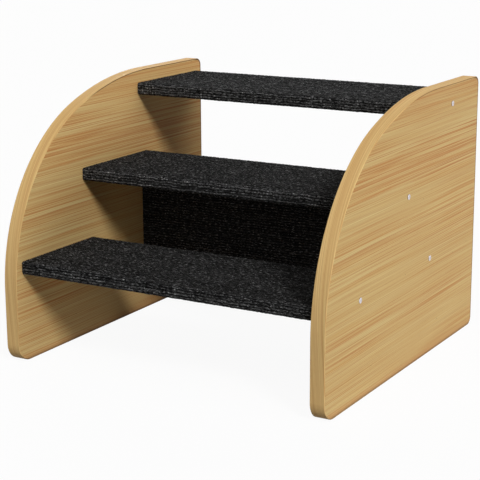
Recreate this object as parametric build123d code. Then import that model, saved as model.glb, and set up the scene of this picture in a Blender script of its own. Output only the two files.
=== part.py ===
from build123d import *
import math
import os

# Driving sizes in millimetres. The part stands on z = 0 and its front faces -Y.
inner_width = 400.0
panel_thickness = 18.0
panel_above_tread = 16.5
front_arc_radius = 227.0
front_arc_angle = 69.0
top_arc_radius = 418.0
foot_radius = 22.0
rear_radius = 10.0

band_thickness = 1.0
band_chamfer = 0.4
band_seam_gap = 0.3
band_seam_inset = 60.0

tread_depth = 148.0
tread_run = 128.0
front_inset = 12.0
rear_inset = 12.0
first_rise = 126.5
tread_rise = 93.5

board_thickness = 12.0
carpet_thickness = 2.0
carpet_corner_radius = 3.0
carpet_return = 35.0
carpet_end_gap = 0.3

cut_overrun = 1.0
hidden_side_count = 12

back_board_setback = 134.0
back_board_drop = 7.5

screw_length = 45.0
screw_diameter = 4.0
screw_tip_length = 4.0
screw_tip_diameter = 0.6
head_diameter = 8.0
head_height = 1.3
head_chamfer = 0.4
recess_length = 4.4
recess_width = 0.9
recess_depth = 0.9
screw_hole_clearance = 0.2
pilot_clearance = 0.05
pilot_spare_depth = 3.0

dowel_diameter = 6.0
dowel_length = 30.0
dowel_in_panel = 10.0
dowel_edge_distance = 22.0
dowel_fit = 0.05
dowel_spare_depth = 0.5

staple_count = 4
staple_end_distance = 35.0
staple_crown = 10.0
staple_leg = 8.0
staple_wire_width = 1.2
staple_wire_thickness = 0.7
staple_edge_distance = 9.0
staple_fit = 0.05

# Sizes and places that follow from the driving sizes
wrapped_thickness = board_thickness + 2 * carpet_thickness
board_depth = tread_depth - 2 * carpet_thickness
panel_depth = front_inset + 2 * tread_run + tread_depth + rear_inset
panel_height = first_rise + 2 * tread_rise + panel_above_tread
panel_front = -panel_depth / 2
panel_rear = panel_depth / 2
panel_inner_face = inner_width / 2
panel_outer_face = panel_inner_face + panel_thickness
tread_centre_y = panel_front + front_inset + tread_depth / 2
middle_underside = first_rise + tread_rise - wrapped_thickness
back_board_y = tread_centre_y + tread_run - tread_depth / 2 + back_board_setback + wrapped_thickness / 2
back_board_z = middle_underside - back_board_drop - tread_depth / 2

# Each place moves a wrapped board from the origin, where its carpeted face looks up,
# to its seat between the panels. The back board's carpeted face looks forward.
PLACES = {
    "lower_tread": Location((0, tread_centre_y, first_rise - wrapped_thickness / 2)),
    "middle_tread": Location(
        (0, tread_centre_y + tread_run, first_rise + tread_rise - wrapped_thickness / 2)
    ),
    "upper_tread": Location(
        (0, tread_centre_y + 2 * tread_run, first_rise + 2 * tread_rise - wrapped_thickness / 2)
    ),
    "back_board": Location((0, back_board_y, back_board_z), (90, 0, 0)),
}


def panel_outline():
    """The side view of a panel over its band: y runs to the rear and z up."""
    turn = math.radians(front_arc_angle)
    curve_rise = front_arc_radius * math.sin(turn) + top_arc_radius * (1 - math.sin(turn))
    front_arc = JernArc(
        (panel_front, panel_height - curve_rise), (0, 1), front_arc_radius, -front_arc_angle
    )
    top_arc = JernArc(front_arc @ 1, front_arc % 1, top_arc_radius, front_arc_angle - 90)
    straight = Polyline(
        top_arc @ 1,
        (panel_rear, panel_height),
        (panel_rear, 0),
        (panel_front, 0),
        front_arc @ 0,
    )
    outline = make_face(straight.edges() + front_arc.edges() + top_arc.edges())
    rear_corners = outline.vertices().group_by(Axis.X)[-1]
    outline = fillet(rear_corners, rear_radius)
    front_foot = outline.vertices().group_by(Axis.Y)[0].sort_by(Axis.X)[0]
    return fillet(front_foot, foot_radius)


def board_core_outline():
    """The panel's outline inside the band."""
    return offset(panel_outline(), amount=-band_thickness)


def panel_plane(side):
    """The plane of a panel's inner face. Its normal points out of the stairs."""
    return Plane(origin=(side * panel_inner_face, 0, 0), x_dir=(0, 1, 0), z_dir=(1, 0, 0))


def side_panel(side):
    """A panel with the holes for its screws and dowels."""
    core = extrude(panel_plane(side) * board_core_outline(), amount=side * panel_thickness)
    for place in PLACES.values():
        core -= place * panel_holes(side)
    return core


def edge_band(side):
    """The strip round a panel's edge, with its broken arrises and its seam below."""
    ring = panel_outline() - board_core_outline()
    band = extrude(panel_plane(side) * ring, amount=side * panel_thickness)
    arrises = [
        edge
        for face in band.faces().filter_by(Axis.X)
        for edge in face.outer_wire().edges()
    ]
    band = chamfer(arrises, min(band_chamfer, band_thickness / 2))
    seam = Box(2 * (panel_outer_face + cut_overrun), band_seam_gap, 2 * (band_thickness + cut_overrun))
    return band - Pos(0, panel_rear - rear_radius - band_seam_inset, 0) * seam


def end_bar(radius, start, length, side, depth_offset=0.0):
    """A hidden bar along X, round but for its few sides, from start outwards."""
    section = RegularPolygon(radius, hidden_side_count)
    bar = extrude(Plane.YZ * section, amount=side * length)
    return Pos(side * start, depth_offset, 0) * bar


def dowel_offsets():
    """How far each of the two dowels lies from the screw, along the board's depth."""
    offset_from_screw = board_depth / 2 - dowel_edge_distance
    return (-offset_from_screw, offset_from_screw)


def panel_holes(side):
    """The holes in one panel for one board: a screw hole and two blind dowel holes."""
    screw_hole = end_bar(
        screw_diameter / 2 + screw_hole_clearance, panel_inner_face, panel_thickness, side
    )
    holes = [screw_hole]
    for depth_offset in dowel_offsets():
        depth = dowel_in_panel + dowel_spare_depth
        holes.append(end_bar(dowel_diameter / 2 + dowel_fit, panel_inner_face, depth, side, depth_offset))
    return Part() + holes


def board_end_holes(side):
    """The pilot hole and the dowel holes in one end of a board."""
    pilot_depth = screw_length - panel_thickness + pilot_spare_depth
    holes = [
        end_bar(screw_diameter / 2 + pilot_clearance, panel_inner_face - pilot_depth, pilot_depth, side)
    ]
    for depth_offset in dowel_offsets():
        depth = dowel_length - dowel_in_panel + dowel_spare_depth
        holes.append(
            end_bar(dowel_diameter / 2 + dowel_fit, panel_inner_face - depth, depth, side, depth_offset)
        )
    return Part() + holes


def board():
    """A board's core, with its end holes and the slots that the staple legs cut."""
    core = Box(inner_width, board_depth, board_thickness)
    for side in (-1, 1):
        core -= board_end_holes(side)
    return core - staple_slots()


def carpet():
    """The wrap: over the top, round both long edges and back under the board."""
    blank = Rectangle(tread_depth, wrapped_thickness)
    outer = fillet(blank.vertices(), min(carpet_corner_radius, wrapped_thickness / 3))
    bare_width = tread_depth - 2 * carpet_return
    bare_strip = Pos(0, -wrapped_thickness / 2) * Rectangle(bare_width, wrapped_thickness)
    wrap = outer - Rectangle(board_depth, board_thickness) - bare_strip
    sleeve = extrude(Plane.YZ * wrap, amount=inner_width / 2 - carpet_end_gap, both=True)
    return sleeve - staple_slots()


def screw(side):
    """A screw with a flat round head and a cross recess. Its head sits on a panel."""
    head = Pos(0, 0, head_height / 2) * Cylinder(head_diameter / 2, head_height)
    rim = head.edges().filter_by(GeomType.CIRCLE).sort_by(Axis.Z)[-1]
    head = chamfer(rim, min(head_chamfer, head_height / 2))
    slot = Box(recess_length, recess_width, 2 * recess_depth)
    for turn in (0, 90):
        head -= Pos(0, 0, head_height) * Rot(0, 0, turn) * slot
    shank_section = RegularPolygon(screw_diameter / 2, hidden_side_count)
    tip_section = RegularPolygon(screw_tip_diameter / 2, hidden_side_count)
    shank = extrude(shank_section, amount=screw_tip_length - screw_length)
    tip = loft(
        [Pos(0, 0, screw_tip_length - screw_length) * shank_section, Pos(0, 0, -screw_length) * tip_section],
        ruled=True,
    )
    return Pos(side * panel_outer_face, 0, 0) * Rot(0, side * 90, 0) * (head + shank + tip)


def dowel(side, depth_offset):
    """A dowel, partly in the panel and partly in the board."""
    start = panel_inner_face + dowel_in_panel - dowel_length
    return end_bar(dowel_diameter / 2, start, dowel_length, side, depth_offset)


def staple_places():
    """The middle of each crown, on the underside of the carpet's two returns."""
    row_offset = tread_depth / 2 - carpet_return + staple_edge_distance
    first = staple_end_distance - inner_width / 2
    pitch = -2 * first / (staple_count - 1)
    for row in (-row_offset, row_offset):
        for index in range(staple_count):
            yield first + index * pitch, row


def staple_legs(fit):
    """Two legs that point up into the board, or the slots round them at that fit."""
    spread = (staple_crown - staple_wire_thickness) / 2
    leg = Box(staple_wire_thickness + 2 * fit, staple_wire_width + 2 * fit, staple_leg + fit)
    leg = Pos(0, 0, (staple_leg + fit) / 2) * leg
    return Pos(-spread, 0, 0) * leg + Pos(spread, 0, 0) * leg


def staple():
    """A staple under the carpet: a flat crown and two legs."""
    crown = Box(staple_crown, staple_wire_width, staple_wire_thickness)
    return Pos(0, 0, -staple_wire_thickness / 2) * crown + staple_legs(0)


def on_underside(shape):
    """Copies of a shape at every staple's place."""
    return [Pos(x, y, -wrapped_thickness / 2) * shape for x, y in staple_places()]


def staple_slots():
    """The slots that the legs make in the carpet and in the board."""
    return Part() + on_underside(staple_legs(staple_fit))


def save(name, solids):
    """Writes one node. Its solids stay separate."""
    shape = solids[0] if len(solids) == 1 else Compound(children=solids)
    export_step(shape, os.path.join("parts", name + ".step"))


def main():
    os.makedirs("parts", exist_ok=True)
    for name, side in (("left", -1), ("right", 1)):
        save(name + "_side_panel", side_panel(side).solids())
        save(name + "_edge_band", edge_band(side).solids())
    core = board()
    wrap = carpet()
    screws = [screw(side) for side in (-1, 1)]
    dowels = [dowel(side, offset) for side in (-1, 1) for offset in dowel_offsets()]
    staples = on_underside(staple())
    for name, place in PLACES.items():
        board_name = name if name == "back_board" else name + "_board"
        save(board_name, [place * solid for solid in core.solids()])
        save(name + "_carpet", [place * solid for solid in wrap.solids()])
        save(name + "_screws", [place * piece.solids()[0] for piece in screws])
        save(name + "_dowels", [place * piece.solids()[0] for piece in dowels])
        save(name + "_staples", [place * piece.solids()[0] for piece in staples])


main()
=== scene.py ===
import bpy
import math
import numpy as np
from mathutils import Euler, Matrix, Vector


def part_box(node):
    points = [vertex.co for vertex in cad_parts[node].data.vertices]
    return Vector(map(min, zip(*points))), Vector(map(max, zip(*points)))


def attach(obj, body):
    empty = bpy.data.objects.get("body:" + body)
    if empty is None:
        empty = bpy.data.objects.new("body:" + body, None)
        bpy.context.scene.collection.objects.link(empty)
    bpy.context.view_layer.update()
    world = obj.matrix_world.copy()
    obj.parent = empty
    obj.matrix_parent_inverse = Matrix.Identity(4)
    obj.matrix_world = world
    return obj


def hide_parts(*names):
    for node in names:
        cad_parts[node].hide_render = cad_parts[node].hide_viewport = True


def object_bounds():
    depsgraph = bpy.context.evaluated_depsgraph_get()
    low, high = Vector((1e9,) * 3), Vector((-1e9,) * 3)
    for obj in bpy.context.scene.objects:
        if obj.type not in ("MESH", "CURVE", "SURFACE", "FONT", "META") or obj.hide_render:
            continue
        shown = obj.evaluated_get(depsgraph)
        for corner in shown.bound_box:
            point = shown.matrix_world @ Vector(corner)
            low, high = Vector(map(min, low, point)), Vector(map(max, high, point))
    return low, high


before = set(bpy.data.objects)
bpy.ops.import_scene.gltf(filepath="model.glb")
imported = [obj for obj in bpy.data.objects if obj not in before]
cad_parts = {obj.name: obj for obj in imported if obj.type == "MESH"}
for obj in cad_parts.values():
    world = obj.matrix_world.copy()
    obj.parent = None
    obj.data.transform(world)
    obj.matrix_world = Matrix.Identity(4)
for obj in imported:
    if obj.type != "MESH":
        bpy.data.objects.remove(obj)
cad_low, cad_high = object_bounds()

MM = 0.001

# The panels' rear edge, their top and the radius of their rear corners, in millimetres, for the
# patterns on them.
REAR = round(cad_high.y / MM, 1)
TOP = round(cad_high.z / MM, 1)
CORNER = 10.0

# Sizes of the carpet, in metres. They repeat the part's own.
CARPET_THICKNESS = 2 * MM
CARPET_CORNER = 3 * MM
CARPET_RETURN = 35 * MM
CORNER_POINTS = 7

# Sizes of the loops. A whole loop rises over the carpet's own face by its crown, and the gaps
# between the loops go below it. A loop is round across its row and dips a little at its ends.
ROW_PITCH = 3.5 * MM
LOOP_LENGTH = 5.4 * MM
LOOP_CROWN = 0.35 * MM
LOOP_GAP = 0.6 * MM
LOOP_NARROWNESS = 2.1
LOOP_END_DIP = 0.5

# How uneven the loops are: the rows sway, the loops drift along them, and heights differ. For
# the drift's noise the rows lie this many millimetres apart, so that each drifts by itself.
ROW_SWAY = 1.4 * MM
SWAY_LUMPS = 12 * MM
LOOP_DRIFT = 5 * MM
DRIFT_LUMPS = 8 * MM
DRIFT_ROW_PITCH = 40
LOWEST_LOOP = 0.65

# Tones of the loops, which carry painted light: those on the edges and in the bends are painted
# lighter than those on top.
TOP_TONE = 0.35
EDGE_PAINTED_LIGHT = 1.5
BEND_PAINTED_LIGHT = 1.2
EDGE_PAINTED_TONE = 0.05
ROW_TONE_SHARE = 0.4
ROW_TONE_CONTRAST = 2.5
FIRST_SEED = 11

# The mesh of a carpet: how many faces across, how long each is round the board, and its finish.
GRID_ACROSS = 320
GRID_ROUND = 0.96 * MM
MERGE_DISTANCE = 0.01 * MM
CARPET_SMOOTH = math.radians(70)

# Sizes of a screw. The head stands a little proud of the panel, and its crown rises in two steps,
# each with its width and its share of the rise. What lies this near a level counts as on it.
HEAD_RADIUS = 3.4 * MM
HEAD_SIDES = 36
HEAD_HEIGHT = 0.7 * MM
HEAD_CROWN = 0.2 * MM
HEAD_ROUND = 0.3 * MM
HEAD_ROUND_STEPS = 4
CROWN_STEPS = ((0.5 * MM, 0.6), (0.7 * MM, 0.4))
SHANK_RADIUS = 2 * MM
SHANK_LENGTH = 41 * MM
POINT_LENGTH = 4 * MM
POINT_SHARE = 0.15
RECESS_LENGTH = 3.6 * MM
RECESS_WIDTH = 0.8 * MM
RECESS_DEPTH = 0.45 * MM
NEAR = 0.01 * MM
SCREW_SMOOTH = math.radians(35)

# How far the cross recess is turned, in degrees: each way from the board's own turn on the two
# sides, and from one board to the next.
SIDE_TURN = 40
BOARD_TURN = 25

BOARDS = ("lower_tread", "middle_tread", "upper_tread", "back_board")


# Shader helpers

def add(tree, kind, inputs=None, **properties):
    """Adds a node. An input is given as a value or as the socket that feeds it."""
    node = tree.nodes.new(kind)
    for name, value in properties.items():
        setattr(node, name, value)
    for name, value in (inputs or {}).items():
        socket = node.inputs[name]
        if isinstance(value, bpy.types.NodeSocket):
            tree.links.new(value, socket)
        else:
            socket.default_value = value
    return node


def maths(tree, operation, first, *others, clamp=False):
    """One operation on a value alone, or with each of the others in turn."""
    result = first
    for other in others or (0.0,):
        node = add(tree, "ShaderNodeMath", {0: result, 1: other}, operation=operation, use_clamp=clamp)
        result = node.outputs[0]
    return result


def total(tree, *values):
    return maths(tree, "ADD", *values)


def minus(tree, value, taken):
    return maths(tree, "SUBTRACT", value, taken)


def product(tree, *values):
    return maths(tree, "MULTIPLY", *values)


def largest(tree, *values):
    return maths(tree, "MAXIMUM", *values)


def unsigned(tree, value):
    return maths(tree, "ABSOLUTE", value)


def step(tree, value, low, high):
    """Rises softly from 0 to 1 as the value goes from low to high."""
    inputs = {"Value": value, "From Min": low, "From Max": high}
    return add(tree, "ShaderNodeMapRange", inputs, interpolation_type="SMOOTHSTEP").outputs["Result"]


def spread(tree, value, low, high):
    """Goes evenly from low to high as the value goes from 0 to 1."""
    inputs = {"Value": value, "To Min": low, "To Max": high}
    return add(tree, "ShaderNodeMapRange", inputs).outputs["Result"]


def blend(tree, share, a, b, mode="MIX"):
    """Mixes two colours."""
    node = add(tree, "ShaderNodeMix", data_type="RGBA", blend_type=mode)
    for index, value in ((0, share), (6, a), (7, b)):
        if isinstance(value, bpy.types.NodeSocket):
            tree.links.new(value, node.inputs[index])
        else:
            node.inputs[index].default_value = value
    return node.outputs[2]


def stretched(tree, vector, scale):
    return add(tree, "ShaderNodeVectorMath", {0: vector, 1: scale}, operation="MULTIPLY").outputs[0]


def noise(tree, vector, scale=(1, 1, 1), detail=2.0, roughness=0.5):
    """Noise over a vector that is first stretched by the three scales."""
    place = stretched(tree, vector, scale)
    inputs = {"Vector": place, "Scale": 1.0, "Detail": detail, "Roughness": roughness}
    return add(tree, "ShaderNodeTexNoise", inputs).outputs["Fac"]


def centred(tree, value):
    """Noise is 0.5 on average. This makes it 0 on average."""
    return minus(tree, value, 0.5)


def cells(tree, vector, scale, dimensions="3D"):
    """Random cells over a stretched vector: the distance from each one's seed, and its own level."""
    inputs = {"Vector": stretched(tree, vector, scale), "Scale": 1.0}
    node = add(tree, "ShaderNodeTexVoronoi", inputs, voronoi_dimensions=dimensions)
    level = add(tree, "ShaderNodeSeparateXYZ", {0: node.outputs["Color"]}).outputs[0]
    return node.outputs["Distance"], level


def srgb(red, green, blue):
    """A colour as it is read off a screen, from 0 to 255, made linear."""
    def linear(value):
        value /= 255
        return value / 12.92 if value <= 0.04045 else ((value + 0.055) / 1.055) ** 2.4
    return (linear(red), linear(green), linear(blue), 1.0)


def grey(level):
    return srgb(level, level, level)


def linear_grey(level):
    """A grey that is given as its linear level."""
    return (level, level, level, 1)


def effect(name, inputs, outputs):
    """An empty node group with named sockets, and its two end nodes."""
    group = bpy.data.node_groups.new(name, "ShaderNodeTree")
    kinds = {"vector": "NodeSocketVector", "colour": "NodeSocketColor", "value": "NodeSocketFloat"}
    for socket, kind, default in inputs:
        made = group.interface.new_socket(name=socket, in_out="INPUT", socket_type=kinds[kind])
        if default is not None:
            made.default_value = default
    for socket, kind in outputs:
        group.interface.new_socket(name=socket, in_out="OUTPUT", socket_type=kinds[kind])
    return group, group.nodes.new("NodeGroupInput").outputs, group.nodes.new("NodeGroupOutput").inputs


def place_effect(tree, group, inputs):
    return add(tree, "ShaderNodeGroup", inputs, node_tree=group).outputs


def finish(name):
    """A new material: the material itself, its tree and its Principled shader."""
    material = bpy.data.materials.new(name)
    material.use_nodes = True
    return material, material.node_tree, material.node_tree.nodes["Principled BSDF"]


def millimetres(tree):
    """Object coordinates in millimetres, apart and together."""
    place = add(tree, "ShaderNodeTexCoord").outputs["Object"]
    scaled = stretched(tree, place, (1 / MM, 1 / MM, 1 / MM))
    apart = add(tree, "ShaderNodeSeparateXYZ", {0: scaled})
    return apart.outputs[0], apart.outputs[1], apart.outputs[2], scaled


def bump(tree, height, distance):
    return add(tree, "ShaderNodeBump", {"Height": height, "Distance": distance}).outputs["Normal"]


# Grain, which the foil, the edge band and the dowels share

GRAIN_WANDER = 3.0
GRAIN_TONE = (-0.175, 0.215)
BROAD_SHARE = 0.4
PLAIN_DEPTH = 0.35
FIGURED = (0.36, 0.64)
RUDDY = (0.48, 0.65)
FINE_DEPTH = 1.2
PORES = (0.62, 0.78)
PORE_DEPTH = 0.16

# How much the fine lines take off red, green and blue.
LINE_WEIGHTS = (0.5, 1.0, 1.25)


def lumps(along, across):
    """The scales for noise in lumps that long and that wide, in millimetres, with X and Z along."""
    return (1 / along, 1 / across, 1 / along)


def timber_grain():
    """Straight grain. X and Z of the vector run along it and Y across it, in millimetres."""
    group, given, out = effect(
        "Timber grain",
        [
            ("Vector", "vector", None),
            ("Light", "colour", None),
            ("Dark", "colour", None),
            ("Red", "colour", None),
            ("Red share", "value", 0.0),
            ("Line contrast", "value", 1.0),
        ],
        [("Color", "colour"), ("Height", "value")],
    )
    wander = noise(group, given["Vector"], lumps(along=260, across=60), detail=1.0)
    wander = product(group, centred(group, wander), GRAIN_WANDER)
    shift = add(group, "ShaderNodeCombineXYZ", {"Y": wander}).outputs[0]
    moved = add(group, "ShaderNodeVectorMath", {0: given["Vector"], 1: shift}, operation="ADD")
    grain = moved.outputs[0]
    broad = noise(group, grain, lumps(along=1200, across=9), detail=2.0)
    streaks = noise(group, grain, lumps(along=420, across=1.05), detail=3.0, roughness=0.6)
    ruddy = noise(group, grain, lumps(along=380, across=1.15), detail=3.0, roughness=0.65)
    figured = noise(group, grain, lumps(along=240, across=24), detail=1.0)
    lines = noise(group, grain, lumps(along=240, across=0.7), detail=2.0)
    pores = noise(group, grain, lumps(along=8, across=0.6), detail=1.0)

    depth = total(group, PLAIN_DEPTH, step(group, figured, *FIGURED))
    tone = product(group, centred(group, streaks), depth)
    tone = total(group, tone, product(group, centred(group, broad), BROAD_SHARE))
    colour = blend(group, step(group, tone, *GRAIN_TONE), given["Light"], given["Dark"])
    red = maths(group, "MULTIPLY", given["Red share"], step(group, ruddy, *RUDDY), clamp=True)
    colour = blend(group, red, colour, given["Red"])

    fine = product(group, centred(group, lines), FINE_DEPTH)
    pored = product(group, step(group, pores, *PORES), PORE_DEPTH)
    shade = product(group, total(group, fine, pored), given["Line contrast"])
    shades = add(group, "ShaderNodeCombineXYZ", {
        channel: minus(group, 1.0, product(group, shade, weight))
        for channel, weight in enumerate(LINE_WEIGHTS)
    }).outputs[0]
    group.links.new(blend(group, 1.0, colour, shades, "MULTIPLY"), out["Color"])
    group.links.new(minus(group, 1.0, total(group, lines, pored)), out["Height"])
    return group


# Foil on the panels' faces. A pair says where something starts and where it is full, and heights
# and depths are in millimetres.

WOOD_LIGHT = srgb(208, 183, 127)
WOOD_DARK = srgb(197, 156, 96)
WOOD_RED = srgb(184, 123, 69)
# Painted shade of the seams, on the faces and on the band.
SEAM_SHADE_BROWN = srgb(76, 48, 27)
PIN_BROWN = srgb(112, 84, 52)

# How red the foil's grain is at some heights above the floor.
RED_ZONES = (
    (0, 0.45), (28, 0.35), (45, 0.3), (62, 0.55), (90, 0.5), (108, 0.25), (132, 0.3), (150, 0.6),
    (188, 0.6), (206, 0.25), (222, 0.45), (232, 1.0), (266, 1.0), (284, 0.4), (304, 0.65), (TOP, 0.95),
)
ZONE_RED = 1.5
ZONE_SWAY = 4.0
LEFT_RED = 0.3

# Single reddish streaks: height, half width and depth of colour. They fade in places.
STREAKS = (
    (68, 1.1, 0.8), (81, 1.4, 0.6), (150, 0.9, 0.9), (171, 1.3, 0.7), (233, 1.2, 0.6),
    (239, 1.2, 0.8), (247, 2.4, 1.0), (255, 1.2, 0.7), (262, 1.4, 0.6), (325, 1.6, 0.6),
)
STREAK_FADE = (0.32, 0.6)
FAINTEST_STREAK = 0.45

# The foil is warmer all over near the floor and near the top.
WARM_FOOT = (11.0, 3.0)
WARM_FOOT_SHARE = 0.5
WARM_CREST = (TOP - 34, TOP - 12)
WARM_CREST_SHARE = 0.21

# Rare pin knots: the size of the cells with one each, a knot's edge as a share of its cell, and
# the lot that lets only a few show.
PIN_CELL = 48
PIN_EDGE = (0.017, 0.01)
PIN_LOT = (0.55, 1.2)

# The painted shade of the seam, a dark line on the faces along the band: how far out round the top
# rear corner it lies, and where it shows there, at the rear and at the foot.
LINE_REACH = (CORNER - 2.6, CORNER - 1.7)
LINE_CORNER_Y = (REAR - 21, REAR - 8)
LINE_CORNER_Z = (TOP - 50, TOP - 14)
LINE_REAR = (REAR - 9, REAR - 6)
LINE_REAR_SHARE = 0.65
LINE_FOOT = (4.2, 1.6)
LINE_FOOT_SHARE = 0.5

FOIL_ROUGHNESS = (0.5, 0.6)
FOIL_RELIEF = 0.04 * MM
MID_PLANE = (1.0, -1.0)


def on_left(tree, x):
    """1 on the left half of the object and 0 on the right half."""
    return step(tree, x, *MID_PLANE)


def height_ramp(tree, height, levels):
    """Turns a height into a level, from pairs of the two between the floor and the top."""
    ramp = add(tree, "ShaderNodeValToRGB", {"Fac": maths(tree, "DIVIDE", height, TOP)})
    stops = ramp.color_ramp.elements
    for stop, (_, level) in ((stops[0], levels[0]), (stops[1], levels[-1])):
        stop.color = linear_grey(level)
    for place, level in levels[1:-1]:
        stops.new(place / TOP).color = linear_grey(level)
    return ramp.outputs["Color"]


def single_streaks(tree, vector, level):
    """How strongly the single reddish streaks show."""
    stops = [(0, 0.0)]
    for centre, half, depth in STREAKS:
        stops += [(centre - half, 0.0), (centre, depth), (centre + half, 0.0)]
    streaks = height_ramp(tree, level, stops + [(TOP, 0.0)])
    fade = step(tree, noise(tree, vector, lumps(along=110, across=6), detail=2.0), *STREAK_FADE)
    shown = total(tree, FAINTEST_STREAK, product(tree, fade, 1 - FAINTEST_STREAK))
    return product(tree, streaks, shown)


def pin_knots(tree, vector):
    """Where the rare pin knots are."""
    distance, lot = cells(tree, vector, (1 / PIN_CELL, 1 / PIN_CELL, 1), "2D")
    return product(tree, step(tree, distance, *PIN_EDGE), step(tree, lot, *PIN_LOT))


def seam_shade_line(tree, y, z):
    """How dark the painted seam shade shows on a face."""
    behind = largest(tree, minus(tree, y, REAR - CORNER), 0.0)
    above = largest(tree, minus(tree, z, TOP - CORNER), 0.0)
    squares = total(tree, product(tree, behind, behind), product(tree, above, above))
    reach = maths(tree, "SQRT", squares)
    near_corner = product(tree, step(tree, y, *LINE_CORNER_Y), step(tree, z, *LINE_CORNER_Z))
    at_rear = product(tree, step(tree, y, *LINE_REAR), LINE_REAR_SHARE)
    shown = product(tree, step(tree, reach, *LINE_REACH), largest(tree, near_corner, at_rear))
    return largest(tree, shown, product(tree, step(tree, z, *LINE_FOOT), LINE_FOOT_SHARE))


def panel_foil(grain):
    """The printed foil on the faces of the side panels: the grain runs front to rear."""
    material, tree, shader = finish("Light oak foil")
    x, y, z, _ = millimetres(tree)
    vector = add(tree, "ShaderNodeCombineXYZ", {0: y, 1: z}).outputs[0]
    sway = centred(tree, noise(tree, vector, lumps(along=130, across=45), detail=1.0))
    level = total(tree, z, product(tree, sway, ZONE_SWAY))
    zones = product(tree, height_ramp(tree, level, RED_ZONES), ZONE_RED)
    laid = place_effect(tree, grain, {
        "Vector": vector,
        "Light": WOOD_LIGHT,
        "Dark": WOOD_DARK,
        "Red": WOOD_RED,
        "Red share": total(tree, zones, product(tree, on_left(tree, x), LEFT_RED)),
        "Line contrast": 0.95,
    })
    colour = blend(tree, single_streaks(tree, vector, level), laid["Color"], WOOD_RED)
    foot = product(tree, step(tree, z, *WARM_FOOT), WARM_FOOT_SHARE)
    crest = product(tree, step(tree, z, *WARM_CREST), WARM_CREST_SHARE)
    colour = blend(tree, total(tree, foot, crest), colour, WOOD_RED)
    colour = blend(tree, pin_knots(tree, vector), colour, PIN_BROWN)
    # Painted shade along the seam with the band.
    colour = blend(tree, seam_shade_line(tree, y, z), colour, SEAM_SHADE_BROWN)
    tree.links.new(colour, shader.inputs["Base Color"])
    tree.links.new(spread(tree, laid["Height"], *FOIL_ROUGHNESS), shader.inputs["Roughness"])
    tree.links.new(bump(tree, laid["Height"], FOIL_RELIEF), shader.inputs["Normal"])
    shader.inputs["Specular IOR Level"].default_value = 0.1
    return material


# Edge band. Its grain drifts to one side as it climbs, and a redder stripe sways along it.

BAND_LIGHT = srgb(241, 204, 139)
BAND_DARK = srgb(222, 177, 114)
BAND_RED = srgb(214, 164, 107)
# Painted shade over the band's lower half.
BAND_LOW_SHADE = srgb(170, 128, 78)
BAND_SLANT = 0.06
STRIPE_SWAY = 6.0
STRIPE_LUMPS = (1 / 260, 0, 1 / 260)
STRIPE_WIDTH = (4.5, 1.5)
STRIPE_RED = 0.55
BAND_PLAIN_RED = 0.2

# The seam along both edges of the band is painted shade, a dark line. It is dark on top, at the rear
# and below, and faint elsewhere. On the left panel it is wider and darker, and starts lower.
SEAM_WIDTH = 0.4
SEAM_SOFT_EDGE = (0.0, 0.2)
SEAM_TOP = (TOP - 17, TOP - 1)
SEAM_REAR = (REAR - 34, REAR - 9)
SEAM_BELOW = (14.0, 3.0)
SEAM_DEPTH = 0.68
SEAM_FAINT = 0.14
LEFT_SEAM_WIDER = 0.2
LEFT_SEAM_LOWER = 13.0
LEFT_SEAM_DARKER = 0.14

# Painted shade: the band is darker at the foot, near the floor, and a little darker over its lower
# half.
FOOT_SHADE_SHARE = 0.5
LOW_SHADE = (190.0, 60.0)
LOW_SHADE_SHARE = 0.08


def band_seam_shade(tree, x, y, z, off_middle, half):
    """How dark the painted seam shade shows along the edges of the band, and how near the foot a point
    is.
    """
    left = on_left(tree, x)
    inner = minus(tree, half, total(tree, SEAM_WIDTH, product(tree, left, LEFT_SEAM_WIDER)))
    near_face = step(tree, minus(tree, off_middle, inner), *SEAM_SOFT_EDGE)
    on_top = step(tree, total(tree, z, product(tree, left, LEFT_SEAM_LOWER)), *SEAM_TOP)
    below = step(tree, z, *SEAM_BELOW)
    dark_side = largest(tree, on_top, step(tree, y, *SEAM_REAR), below)
    depth = total(tree, SEAM_DEPTH, product(tree, left, LEFT_SEAM_DARKER))
    seam = product(tree, near_face, largest(tree, product(tree, dark_side, depth), SEAM_FAINT))
    return seam, below


def band_foil(grain):
    """The edge band: grain along the edge, and a dark line of painted shade where it meets the faces.
    """
    material, tree, shader = finish("Oak edge band")
    x, y, z, _ = millimetres(tree)
    slanted = total(tree, x, product(tree, z, BAND_SLANT))
    vector = add(tree, "ShaderNodeCombineXYZ", {0: y, 1: slanted, 2: z}).outputs[0]
    low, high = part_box("right_side_panel")
    middle = (low.x + high.x) / 2 / MM
    half = (high.x - low.x) / 2 / MM
    across = minus(tree, unsigned(tree, x), middle)
    sway = product(tree, noise(tree, vector, STRIPE_LUMPS, detail=1.0), STRIPE_SWAY)
    stripe = step(tree, unsigned(tree, total(tree, across, sway)), *STRIPE_WIDTH)
    laid = place_effect(tree, grain, {
        "Vector": vector,
        "Light": BAND_LIGHT,
        "Dark": BAND_DARK,
        "Red": BAND_RED,
        "Red share": total(tree, BAND_PLAIN_RED, product(tree, stripe, STRIPE_RED)),
        "Line contrast": 0.8,
    })
    seam, below = band_seam_shade(tree, x, y, z, unsigned(tree, across), half)
    # Painted shade over the lower half of the band, and at its foot.
    low_shade = product(tree, step(tree, z, *LOW_SHADE), LOW_SHADE_SHARE)
    colour = blend(tree, low_shade, laid["Color"], BAND_LOW_SHADE)
    colour = blend(tree, largest(tree, seam, product(tree, below, FOOT_SHADE_SHARE)), colour, SEAM_SHADE_BROWN)
    tree.links.new(colour, shader.inputs["Base Color"])
    tree.links.new(bump(tree, laid["Height"], FOIL_RELIEF), shader.inputs["Normal"])
    shader.inputs["Roughness"].default_value = 0.55
    shader.inputs["Specular IOR Level"].default_value = 0.05
    return material


# Carpet yarn. The scales are per millimetre, and the pattern is longer along the rows, which is X.

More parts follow.
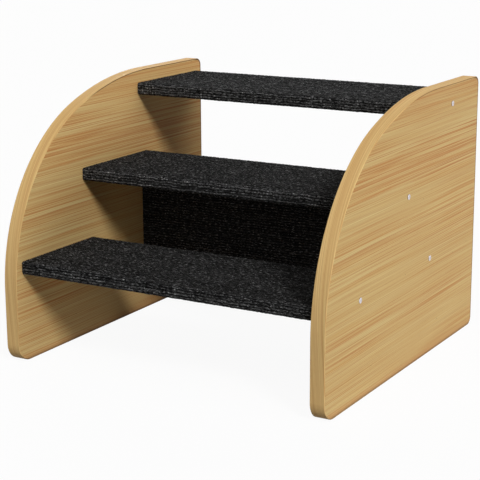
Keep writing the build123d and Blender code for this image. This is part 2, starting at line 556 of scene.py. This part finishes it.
YARN_DARK = grey(15)
YARN_LIGHT = grey(112)
FLECK_GREY = grey(144)
GLINT_GREY = grey(172)
# Painted shade: the gaps between the loops and between the fibres are painted near black.
GAP_SHADE_BLACK = grey(6)
FIBRE_SCALE = (0.3, 1.3, 1.3)
FIBRE_GAP_SHADE = (0.58, 0.42)
FLECK_SCALE = (0.2, 1.1, 1.1)
FLECKS = (0.54, 0.65)
GLINT_SCALE = (0.24, 0.42, 0.42)
GLINT_EDGE = (0.32, 0.18)
GLINT_LOT = (0.6, 0.75)
GLINT_TONE = (0.32, 0.5)
LOOP_SHOWS = (0.12, 0.6)
YARN_RELIEF = 0.6 * MM


def loop_carpet():
    """Charcoal loop carpet. The piece's own attributes say where its loops stand."""
    material, tree, shader = finish("Charcoal loop carpet")
    stands = add(tree, "ShaderNodeAttribute", attribute_name="pile_height").outputs["Fac"]
    # This tone holds the loops' own random tones and the painted light on the edges and in the bends.
    tone = add(tree, "ShaderNodeAttribute", attribute_name="pile_tone_and_light").outputs["Fac"]
    _, _, _, place = millimetres(tree)
    fibres = noise(tree, place, FIBRE_SCALE, detail=3.0, roughness=0.7)
    flecks = noise(tree, place, FLECK_SCALE, detail=2.0, roughness=0.6)
    distance, lot = cells(tree, place, GLINT_SCALE)
    glint = product(tree, step(tree, distance, *GLINT_EDGE), step(tree, lot, *GLINT_LOT))
    glint = product(tree, glint, step(tree, tone, *GLINT_TONE))
    yarn = blend(tree, tone, YARN_DARK, YARN_LIGHT)
    yarn = blend(tree, step(tree, flecks, *FLECKS), yarn, FLECK_GREY)
    yarn = blend(tree, step(tree, fibres, *FIBRE_GAP_SHADE), yarn, GAP_SHADE_BLACK)
    yarn = blend(tree, glint, yarn, GLINT_GREY)
    # Painted shade between the loops, where they stand low.
    colour = blend(tree, step(tree, stands, *LOOP_SHOWS), GAP_SHADE_BLACK, yarn)
    tree.links.new(colour, shader.inputs["Base Color"])
    tree.links.new(bump(tree, fibres, YARN_RELIEF), shader.inputs["Normal"])
    shader.inputs["Roughness"].default_value = 0.95
    shader.inputs["Specular IOR Level"].default_value = 0.05
    return material


# Metals. The scales are per millimetre.

SCREW_LIGHT = srgb(232, 226, 230)
SCREW_DARK = srgb(200, 194, 198)
# Painted shade at the foot of a screw head.
HEAD_SHADE_BROWN = srgb(58, 44, 32)
SCREW_MARKS = (2, 6, 6)
SCREW_ROUGHNESS = (0.25, 0.45)
WIRE_DARK = srgb(150, 152, 155)
WIRE_LIGHT = srgb(205, 206, 208)
SPANGLE_SCALE = (1.5, 1.5, 1.5)
WIRE_ROUGHNESS = (0.3, 0.55)

# Painted shade covers the foot of a head: how far out from the panel it fades and is full, in
# millimetres.
HEAD_SHADE = (HEAD_HEIGHT / MM - 0.15, 0.3)


def bright_steel():
    """Nickel plated steel with faint turning marks, and painted shade where the head meets the panel.
    """
    material, tree, shader = finish("Nickel plated steel")
    x, _, _, place = millimetres(tree)
    proud = minus(tree, unsigned(tree, x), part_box("right_side_panel")[1].x / MM)
    # Painted shade where the head meets the panel; the same mask also makes the foot rough.
    head_shade = step(tree, proud, *HEAD_SHADE)
    marks = noise(tree, place, SCREW_MARKS, detail=2.0)
    colour = blend(tree, marks, SCREW_LIGHT, SCREW_DARK)
    tree.links.new(blend(tree, head_shade, colour, HEAD_SHADE_BROWN), shader.inputs["Base Color"])
    rough = largest(tree, spread(tree, marks, *SCREW_ROUGHNESS), head_shade)
    tree.links.new(rough, shader.inputs["Roughness"])
    shader.inputs["Metallic"].default_value = 0.85
    return material


def staple_steel():
    """Galvanised staple wire."""
    material, tree, shader = finish("Galvanised wire")
    _, _, _, place = millimetres(tree)
    spangle = noise(tree, place, SPANGLE_SCALE, detail=3.0)
    tree.links.new(blend(tree, spangle, WIRE_DARK, WIRE_LIGHT), shader.inputs["Base Color"])
    tree.links.new(spread(tree, spangle, *WIRE_ROUGHNESS), shader.inputs["Roughness"])
    shader.inputs["Metallic"].default_value = 1.0
    return material


# Raw woods. The scales are per millimetre.

CHIP_LIGHT = srgb(196, 168, 124)
CHIP_DARK = srgb(158, 126, 84)
CHIP_GAP = srgb(112, 84, 54)
CHIP_SCALE = (0.35, 0.6, 0.6)
DUST_SCALE = (1.5, 1.5, 1.5)
DUST_GAPS = (0.58, 0.74)
CHIP_RELIEF = 0.3 * MM
BEECH_LIGHT = srgb(222, 190, 145)
BEECH_DARK = srgb(200, 164, 118)
BEECH_UPRIGHT = 20.0
BEECH_RELIEF = 0.1 * MM


def chipboard():
    """The raw board under the carpet: pressed flakes of several tones."""
    material, tree, shader = finish("Raw chipboard")
    _, _, _, place = millimetres(tree)
    _, tone = cells(tree, place, CHIP_SCALE)
    dust = noise(tree, place, DUST_SCALE, detail=4.0, roughness=0.65)
    colour = blend(tree, tone, CHIP_LIGHT, CHIP_DARK)
    colour = blend(tree, step(tree, dust, *DUST_GAPS), colour, CHIP_GAP)
    tree.links.new(colour, shader.inputs["Base Color"])
    tree.links.new(bump(tree, dust, CHIP_RELIEF), shader.inputs["Normal"])
    shader.inputs["Roughness"].default_value = 0.85
    return material


def dowel_beech(grain):
    """Beech dowels. They lie along X, so their grain is fine in Z as well as in Y."""
    material, tree, shader = finish("Beech dowel")
    x, y, z, _ = millimetres(tree)
    packed = product(tree, z, BEECH_UPRIGHT)
    vector = add(tree, "ShaderNodeCombineXYZ", {0: x, 1: y, 2: packed}).outputs[0]
    laid = place_effect(tree, grain, {
        "Vector": vector,
        "Light": BEECH_LIGHT,
        "Dark": BEECH_DARK,
        "Red": WOOD_RED,
    })
    tree.links.new(laid["Color"], shader.inputs["Base Color"])
    tree.links.new(bump(tree, laid["Height"], BEECH_RELIEF), shader.inputs["Normal"])
    shader.inputs["Roughness"].default_value = 0.7
    return material


def dress(node, material):
    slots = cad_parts[node].data.materials
    slots.clear()
    slots.append(material)


def board_node(board):
    """The name of a board's own node. A tread's name takes a further word."""
    return board if board == "back_board" else board + "_board"


# Carpets

def lattice_noise(u, v, size, rng):
    """Smooth noise from 0 to 1 on the flat cut, with lumps of about that size."""
    a, b = u / size, v / size
    a0, b0 = np.floor(a).astype(int), np.floor(b).astype(int)
    fa, fb = a - a0, b - b0
    fa, fb = fa * fa * (3 - 2 * fa), fb * fb * (3 - 2 * fb)
    a0, b0 = a0 - a0.min(), b0 - b0.min()
    table = rng.random((a0.max() + 2, b0.max() + 2))
    near = table[a0, b0] * (1 - fa) + table[a0 + 1, b0] * fa
    far = table[a0, b0 + 1] * (1 - fa) + table[a0 + 1, b0 + 1] * fa
    return near * (1 - fb) + far * fb


def pile(u, v, seed):
    """Height and tone of the loops at points of the flat cut, each from 0 to 1."""
    rng = np.random.default_rng(seed)
    v = v + ROW_SWAY * (lattice_noise(u, v, SWAY_LUMPS, rng) - 0.5)
    row = np.floor(v / ROW_PITCH).astype(int)
    row -= row.min()
    u = u + LOOP_DRIFT * (lattice_noise(u, row * DRIFT_ROW_PITCH * MM, DRIFT_LUMPS, rng) - 0.5)
    across = v / ROW_PITCH - np.floor(v / ROW_PITCH) - 0.5
    starts = rng.random(row.max() + 1)[row]
    along = u / LOOP_LENGTH + starts
    loop = np.floor(along).astype(int)
    along = along - loop - 0.5
    loop -= loop.min()
    heights = rng.uniform(LOWEST_LOOP, 1.0, (row.max() + 1, loop.max() + 1))[row, loop]
    tones = rng.random((row.max() + 1, loop.max() + 1))[row, loop]
    row_tones = rng.random(row.max() + 1)[row]
    row_tones = np.clip(ROW_TONE_CONTRAST * row_tones - (ROW_TONE_CONTRAST - 1) / 2, 0, 1)
    tones = (1 - ROW_TONE_SHARE) * tones + ROW_TONE_SHARE * row_tones
    round_across = np.clip(1 - (LOOP_NARROWNESS * across) ** 2, 0, 1)
    round_along = 1 - LOOP_END_DIP * np.abs(2 * along) ** 4
    return heights * round_across * round_along, tones


def wrap_face(half_depth, half_thick):
    """The outer face of the folded carpet's section: its points and their outward normals."""
    corner = CARPET_CORNER
    turns = [
        (-half_depth + corner, -half_thick + corner, 270, 180),
        (-half_depth + corner, half_thick - corner, 180, 90),
        (half_depth - corner, half_thick - corner, 90, 0),
        (half_depth - corner, -half_thick + corner, 0, -90),
    ]
    points = [(-half_depth + CARPET_RETURN, -half_thick)]
    normals = [(0, -1)]
    for y, z, start, end in turns:
        for share in np.linspace(0, 1, CORNER_POINTS):
            angle = math.radians(start + (end - start) * share)
            points.append((y + corner * math.cos(angle), z + corner * math.sin(angle)))
            normals.append((math.cos(angle), math.sin(angle)))
    points.append((half_depth - CARPET_RETURN, -half_thick))
    normals.append((0, -1))
    return np.array(points), np.array(normals)


def wrap_lining(half_depth, half_thick):
    """The inner face of the section, which lies on the board."""
    inset_depth, inset_thick = half_depth - CARPET_THICKNESS, half_thick - CARPET_THICKNESS
    return [
        (half_depth - CARPET_RETURN, -inset_thick),
        (inset_depth, -inset_thick),
        (inset_depth, inset_thick),
        (-inset_depth, inset_thick),
        (-inset_depth, -inset_thick),
        (-half_depth + CARPET_RETURN, -inset_thick),
    ]


def wrap_outline(depth, thickness):
    """The folded carpet's closed section: points, outward normals, lengths round it, where the
    loops are raised, and the whole length of the outer face."""
    points, normals = wrap_face(depth / 2, thickness / 2)
    lengths = np.concatenate([[0], np.cumsum(np.hypot(*np.diff(points, axis=0).T))])
    girth = lengths[-1]
    count = round(girth / GRID_ROUND)
    even = np.linspace(0, girth, count + 1)
    outer = np.stack([np.interp(even, lengths, points[:, axis]) for axis in (0, 1)], 1)
    out = np.stack([np.interp(even, lengths, normals[:, axis]) for axis in (0, 1)], 1)
    lining = wrap_lining(depth / 2, thickness / 2)
    section = np.concatenate([outer, lining, outer[:1]])
    out = np.concatenate([out, np.zeros((len(lining), 2)), out[:1]])
    round_board = np.concatenate([even, np.full(len(lining), girth), [0.0]])
    raised = np.concatenate([np.ones(count + 1), np.zeros(len(lining)), [1.0]])
    return section, out, round_board, raised, girth


def close_strip():
    """Joins the active strip's two ends, closes its sides and points its faces outwards."""
    bpy.ops.object.mode_set(mode="EDIT")
    bpy.ops.mesh.select_all(action="SELECT")
    bpy.ops.mesh.remove_doubles(threshold=MERGE_DISTANCE)
    bpy.ops.mesh.select_all(action="DESELECT")
    bpy.ops.mesh.select_mode(type="EDGE")
    bpy.ops.mesh.select_non_manifold()
    bpy.ops.mesh.edge_face_add()
    bpy.ops.mesh.select_all(action="SELECT")
    bpy.ops.mesh.normals_make_consistent(inside=False)
    bpy.ops.object.mode_set(mode="OBJECT")
    bpy.ops.object.shade_smooth_by_angle(angle=CARPET_SMOOTH)


def fold_carpet(board, seed, material):
    """A strip cut flat, folded round its board and closed below by its two returns."""
    node = board + "_carpet"
    low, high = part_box(node)
    size = high - low
    upright = size.z > size.y
    depth, thickness = (size.z, size.y) if upright else (size.y, size.z)
    section, out, lengths, raised, girth = wrap_outline(depth, thickness)
    bpy.ops.object.select_all(action="DESELECT")
    bpy.ops.mesh.primitive_grid_add(
        x_subdivisions=GRID_ACROSS, y_subdivisions=len(section) - 1, size=size.x
    )
    carpet = bpy.context.object
    carpet.name = carpet.data.name = board + "_loop_carpet"
    mesh = carpet.data
    flat = np.empty(len(mesh.vertices) * 3)
    mesh.vertices.foreach_get("co", flat)
    flat = flat.reshape(len(section), GRID_ACROSS + 1, 3)
    across = flat[:, :, 0]
    round_board = np.repeat(lengths[:, None], GRID_ACROSS + 1, 1)

    height, tone = pile(across, round_board, seed)
    height *= raised[:, None]
    height[-1], tone[-1] = height[0], tone[0]
    on_edge = np.abs(out[:, :1])
    in_bend = 2 * np.abs(out[:, :1] * out[:, 1:])
    # Painted light: the loops on the edges and in the bends are made lighter than those on top.
    tone = TOP_TONE * tone * (1 + EDGE_PAINTED_LIGHT * on_edge + BEND_PAINTED_LIGHT * in_bend) + EDGE_PAINTED_TONE * on_edge
    lift = raised[:, None] * (height * (LOOP_CROWN + LOOP_GAP) - LOOP_GAP)
    folded = flat.copy()
    folded[:, :, 1] = section[:, None, 0] + out[:, None, 0] * lift
    folded[:, :, 2] = section[:, None, 1] + out[:, None, 1] * lift
    mesh.vertices.foreach_set("co", folded.ravel())
    for name, values in (("pile_height", height), ("pile_tone_and_light", tone)):
        attribute = mesh.attributes.new(name, "FLOAT", "POINT")
        attribute.data.foreach_set("value", values.ravel().astype(np.float32))

    close_strip()
    turn = Matrix.Rotation(math.radians(90), 4, "X") if upright else Matrix.Identity(4)
    mesh.transform(Matrix.Translation((low + high) / 2) @ turn)
    mesh.materials.append(material)
    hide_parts(node)
    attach(carpet, "root")


# Screws

def pick(piece, kind, test):
    """Goes to edit mode with just the faces or edges selected that pass the test."""
    mesh = piece.data
    bpy.ops.object.mode_set(mode="EDIT")
    bpy.ops.mesh.select_mode(type=kind)
    bpy.ops.mesh.select_all(action="DESELECT")
    bpy.ops.object.mode_set(mode="OBJECT")
    for part in mesh.polygons if kind == "FACE" else mesh.edges:
        part.select = test([mesh.vertices[index].co for index in part.vertices])
    bpy.ops.object.mode_set(mode="EDIT")


def is_cap(points):
    """True for the head's two round faces, which have a point for each of its sides."""
    return len(points) == HEAD_SIDES


def cut_recess(screw):
    """Cuts the cross into the head with two bars."""
    for turn in (0, 90):
        bpy.ops.mesh.primitive_cube_add(size=1, location=(0, 0, HEAD_HEIGHT + HEAD_CROWN))
        cutter = bpy.context.object
        cutter.scale = (RECESS_LENGTH, RECESS_WIDTH, 2 * RECESS_DEPTH)
        cutter.rotation_euler.z = math.radians(turn)
        bpy.ops.object.transform_apply(location=True, rotation=True, scale=True)
        cut = screw.modifiers.new("Recess", "BOOLEAN")
        cut.operation = "DIFFERENCE"
        cut.solver = "EXACT"
        cut.object = cutter
        bpy.context.view_layer.objects.active = screw
        bpy.ops.object.modifier_apply(modifier=cut.name)
        bpy.data.objects.remove(cutter)


def model_screw():
    """One screw that points down from the origin: crowned head, cross recess, shank and point."""
    bpy.ops.object.select_all(action="DESELECT")
    bpy.ops.mesh.primitive_cylinder_add(
        vertices=HEAD_SIDES, radius=HEAD_RADIUS, depth=HEAD_HEIGHT, location=(0, 0, HEAD_HEIGHT / 2)
    )
    bpy.ops.object.transform_apply(location=True, rotation=True, scale=True)
    screw = bpy.context.object
    near_top = HEAD_HEIGHT - NEAR
    pick(screw, "EDGE", lambda points: all(point.z > near_top for point in points))
    bpy.ops.mesh.bevel(offset=HEAD_ROUND, segments=HEAD_ROUND_STEPS)
    pick(screw, "FACE", lambda points: is_cap(points) and points[0].z > near_top)
    for width, share in CROWN_STEPS:
        bpy.ops.mesh.inset(thickness=width, depth=HEAD_CROWN * share)
    pick(screw, "FACE", lambda points: is_cap(points) and points[0].z < NEAR)
    bpy.ops.mesh.inset(thickness=HEAD_RADIUS - SHANK_RADIUS)
    bpy.ops.mesh.extrude_region_move(TRANSFORM_OT_translate={"value": (0, 0, -SHANK_LENGTH)})
    bpy.ops.mesh.extrude_region_move(TRANSFORM_OT_translate={"value": (0, 0, -POINT_LENGTH)})
    bpy.ops.transform.resize(value=(POINT_SHARE, POINT_SHARE, 1), center_override=(0, 0, 0))
    bpy.ops.object.mode_set(mode="OBJECT")
    cut_recess(screw)
    bpy.ops.object.select_all(action="DESELECT")
    screw.select_set(True)
    bpy.ops.object.shade_smooth_by_angle(angle=SCREW_SMOOTH)
    return screw


def drive_screws(board, pattern, material, turn):
    """Copies of the screw at both ends of a board, joined as one piece."""
    node = board + "_screws"
    low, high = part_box(node)
    middle = (low + high) / 2
    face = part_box("right_side_panel")[1].x
    pair = []
    for side in (-1, 1):
        bpy.ops.object.select_all(action="DESELECT")
        pattern.select_set(True)
        bpy.context.view_layer.objects.active = pattern
        bpy.ops.object.duplicate(linked=False)
        screw = bpy.context.object
        tip_over = Matrix.Rotation(math.radians(90 * side), 4, "Y")
        spin = Matrix.Rotation(math.radians(turn + SIDE_TURN * side), 4, "Z")
        screw.matrix_world = Matrix.Translation((side * face, middle.y, middle.z)) @ tip_over @ spin
        bpy.ops.object.transform_apply(location=True, rotation=True, scale=True)
        pair.append(screw)
    bpy.ops.object.select_all(action="DESELECT")
    for screw in pair:
        screw.select_set(True)
    bpy.ops.object.join()
    joined = bpy.context.object
    joined.name = joined.data.name = board + "_screw_pair"
    joined.data.materials.clear()
    joined.data.materials.append(material)
    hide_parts(node)
    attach(joined, "root")


# Studio

FLOOR_SIZE = 60
FLOOR_SEEN = 0.95
FLOOR_BOUNCE = 0.4
FLOOR_GLOW = 0.94
WORLD_LIGHT = 0.035

# A patch of the floor under the stairs sends light up to their shaded faces: its middle, how it
# fades to front and rear and to the sides, in millimetres, and its strength.
PATCH_MIDDLE = 105.0
PATCH_DEPTH = (125.0, 65.0)
PATCH_WIDTH = (250.0, 200.0)
PATCH_GLOW = 0.3

# Each lamp's name, direction from the object, strength and angle in degrees.
LAMPS = (
    ("key_light", (0.66, -0.44, 0.58), 1.8, 13),
    ("fill_light", (0.1, -0.42, 0.9), 0.76, 50),
    ("side_light", (1, 0.05, 0.17), 0.99, 18),
    ("back_light", (-0.75, 0.62, 0.15), 1.4, 30),
)

# The camera's place in metres, its turns in degrees, and its lens and sensor in millimetres.
CAMERA_PLACE = (0.8745, -1.5138, 0.5681)
CAMERA_DOWN = 13.95
CAMERA_TURN = 30.339
CAMERA_ROLL = -0.325
CAMERA_LENS = 107.25
CAMERA_SENSOR = 36.0


def seen_rays(tree):
    """1 for rays that show the floor or world themselves, also in metal and through glass."""
    ray = add(tree, "ShaderNodeLightPath").outputs
    return largest(tree, ray["Is Camera Ray"], ray["Is Glossy Ray"], ray["Is Transmission Ray"])


def lay_floor():
    """A floor that looks white and keeps the object's shadow."""
    bpy.ops.object.select_all(action="DESELECT")
    bpy.ops.mesh.primitive_grid_add(x_subdivisions=4, y_subdivisions=4, size=FLOOR_SIZE)
    floor = bpy.context.object
    floor.name = "studio_floor"
    material, tree, shader = finish("Studio floor")
    seen = seen_rays(tree)
    white = add(tree, "ShaderNodeEmission", {"Color": linear_grey(1), "Strength": 1.0}).outputs[0]
    shader.inputs["Roughness"].default_value = 1.0
    shader.inputs["Specular IOR Level"].default_value = 0.0
    x, y, _, _ = millimetres(tree)
    along = step(tree, unsigned(tree, total(tree, y, PATCH_MIDDLE)), *PATCH_DEPTH)
    patch = product(tree, along, step(tree, unsigned(tree, x), *PATCH_WIDTH))
    colour = blend(tree, seen, linear_grey(FLOOR_BOUNCE), linear_grey(FLOOR_SEEN))
    tree.links.new(colour, shader.inputs["Base Color"])
    glow = largest(tree, product(tree, seen, FLOOR_GLOW), product(tree, patch, PATCH_GLOW))
    mixed = add(tree, "ShaderNodeMixShader", {0: glow, 1: shader.outputs[0], 2: white})
    tree.links.new(mixed.outputs[0], tree.nodes["Material Output"].inputs["Surface"])
    floor.data.materials.append(material)


def hang_world():
    """A world that looks white and gives little light."""
    world = bpy.data.worlds.new("Studio")
    bpy.context.scene.world = world
    world.use_nodes = True
    tree = world.node_tree
    colour = blend(tree, seen_rays(tree), linear_grey(WORLD_LIGHT), linear_grey(1))
    tree.links.new(colour, tree.nodes["Background"].inputs["Color"])
    tree.nodes["Background"].inputs["Strength"].default_value = 1.0


def set_lamps():
    for name, towards, strength, angle in LAMPS:
        lamp = bpy.data.lights.new(name, "SUN")
        lamp.energy = strength
        lamp.angle = math.radians(angle)
        stand = bpy.data.objects.new(name, lamp)
        bpy.context.scene.collection.objects.link(stand)
        stand.rotation_euler = Vector(towards).to_track_quat("Z", "Y").to_euler()


def set_camera():
    camera = bpy.data.objects.new("camera", bpy.data.cameras.new("camera"))
    bpy.context.scene.collection.objects.link(camera)
    camera.data.sensor_width = CAMERA_SENSOR
    camera.data.lens = CAMERA_LENS
    turn = Euler((math.radians(90 - CAMERA_DOWN), 0, math.radians(CAMERA_TURN))).to_matrix().to_4x4()
    roll = Matrix.Rotation(math.radians(CAMERA_ROLL), 4, "Z")
    camera.matrix_world = Matrix.Translation(CAMERA_PLACE) @ turn @ roll
    bpy.context.scene.camera = camera
    bpy.context.scene.view_settings.view_transform = "Standard"


grain = timber_grain()
foil, band = panel_foil(grain), band_foil(grain)
for side in ("left", "right"):
    dress(side + "_side_panel", foil)
    dress(side + "_edge_band", band)
carpet_finish, board_finish, dowel_finish = loop_carpet(), chipboard(), dowel_beech(grain)
steel, wire = bright_steel(), staple_steel()
screw_pattern = model_screw()
for number, board in enumerate(BOARDS):
    dress(board_node(board), board_finish)
    dress(board + "_dowels", dowel_finish)
    dress(board + "_staples", wire)
    fold_carpet(board, FIRST_SEED + number, carpet_finish)
    drive_screws(board, screw_pattern, steel, BOARD_TURN * number)
bpy.data.objects.remove(screw_pattern)
lay_floor()
hang_world()
set_lamps()
set_camera()
